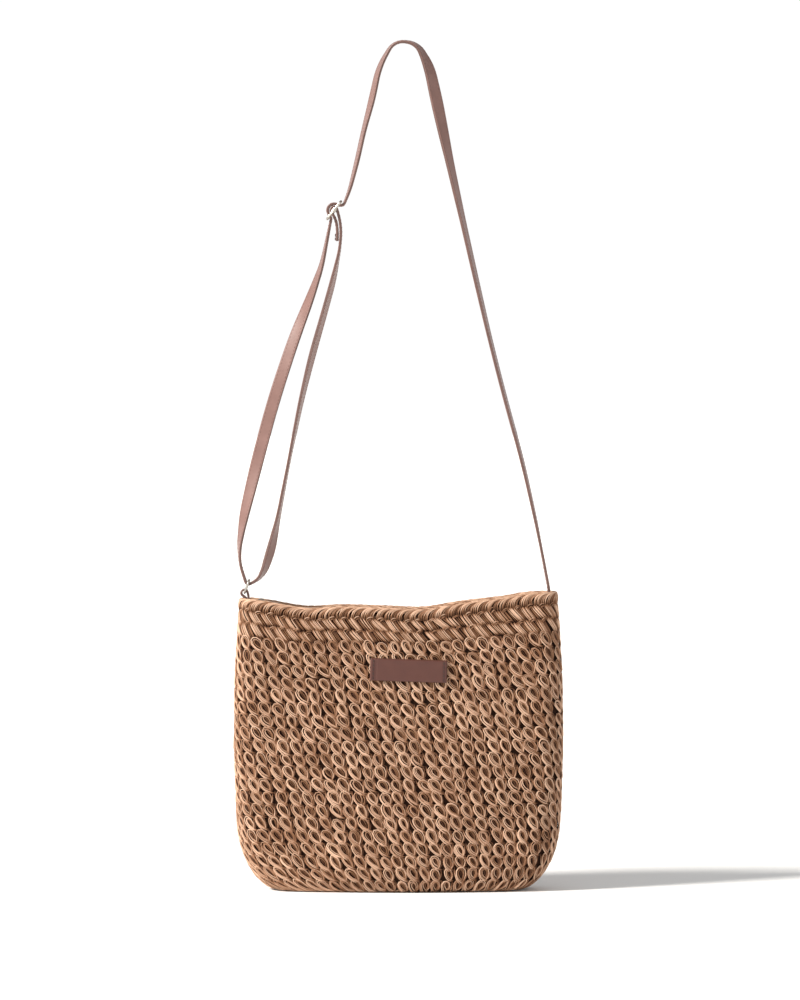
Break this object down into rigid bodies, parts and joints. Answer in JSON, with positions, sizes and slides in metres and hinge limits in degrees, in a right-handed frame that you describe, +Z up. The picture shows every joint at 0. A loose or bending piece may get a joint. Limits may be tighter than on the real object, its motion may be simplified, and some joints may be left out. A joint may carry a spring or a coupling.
{
  "type": "crossbody purse",
  "caption": "Crocheted paper-straw crossbody purse with a zipped mouth, leather label and an adjustable leather strap on a ring and buckle.",
  "frame": {"origin": "centre of the base on the table", "axes": "+Z up, front (label side) faces -Y, +X to the right seen from the front"},
  "size_m": [0.268, 0.0752, 0.6876],
  "materials": {
    "straw": "crocheted twisted paper straw, matte with a faint sheen",
    "lining_cloth": "plain woven polyester",
    "label_leather": "smooth coated leather, satin",
    "label_thread": "waxed thread",
    "strap_leather": "grained coated leather, satin",
    "strap_thread": "waxed thread",
    "ring_metal": "nickel plated wire, polished",
    "zip_metal": "nickel plated die casting",
    "zip_tape": "herringbone woven tape"
  },
  "bodies": {
    "bag": {"crochet_body": "straw", "rim_edging": "straw", "lining": "lining_cloth", "zip_facing": "lining_cloth", "label": "label_leather", "label_stitches": "label_thread", "zip_end_tape_left": "zip_tape", "zip_end_tape_right": "zip_tape", "zip_end_teeth": "zip_metal", "zip_top_stops": "zip_metal", "zip_bottom_stop": "zip_metal", "strap_root": "strap_leather", "tab_root": "strap_leather"},
    "strap": {"strap": "strap_leather", "strap_end_stitches": "strap_thread", "ring_tab": "strap_leather"},
    "ring": {"strap_ring": "ring_metal"},
    "buckle": {"buckle_frame": "ring_metal", "buckle_bar": "ring_metal"},
    "zip_slider": {"zip_slider": "zip_metal"},
    "zip_pull": {"zip_pull": "zip_metal"},
    "zip_front": {"zip_tape_front": "zip_tape", "zip_teeth_front": "zip_metal"},
    "zip_rear": {"zip_tape_rear": "zip_tape", "zip_teeth_rear": "zip_metal"}
  },
  "joints": [
    {"name": "strap_swing", "type": "hinge", "parent": "bag", "child": "strap", "pos_m": [-0.12235, 0, 0.2373], "axis": [0.9997, 0, 0.0258], "range_deg": [-35, 35]},
    {"name": "ring_tilt", "type": "hinge", "parent": "strap", "child": "ring", "pos_m": [-0.1246, 0, 0.241], "axis": [0, 1, 0], "range_deg": [-3, 3]},
    {"name": "buckle_tilt", "type": "hinge", "parent": "strap", "child": "buckle", "pos_m": [-0.0521, 0, 0.5503], "axis": [0, 1, 0], "range_deg": [-4, 4]},
    {"name": "zip_slide", "type": "slide", "parent": "bag", "child": "zip_slider", "axis": [0.9994, 0, -0.0349], "range_m": [0, 0.209]},
    {"name": "pull_tilt", "type": "hinge", "parent": "zip_slider", "child": "zip_pull", "pos_m": [-0.11129, 0, 0.23419], "axis": [0, -1, 0], "range_deg": [0, 75]},
    {"name": "zip_front_open", "type": "hinge", "parent": "bag", "child": "zip_front", "pos_m": [0, -0.0086, 0.2263], "axis": [0.9994, 0, -0.0349], "range_deg": [0, 78]},
    {"name": "zip_rear_open", "type": "hinge", "parent": "bag", "child": "zip_rear", "pos_m": [0, 0.0086, 0.2263], "axis": [-0.9994, 0, 0.0349], "range_deg": [0, 78]}
  ]
}
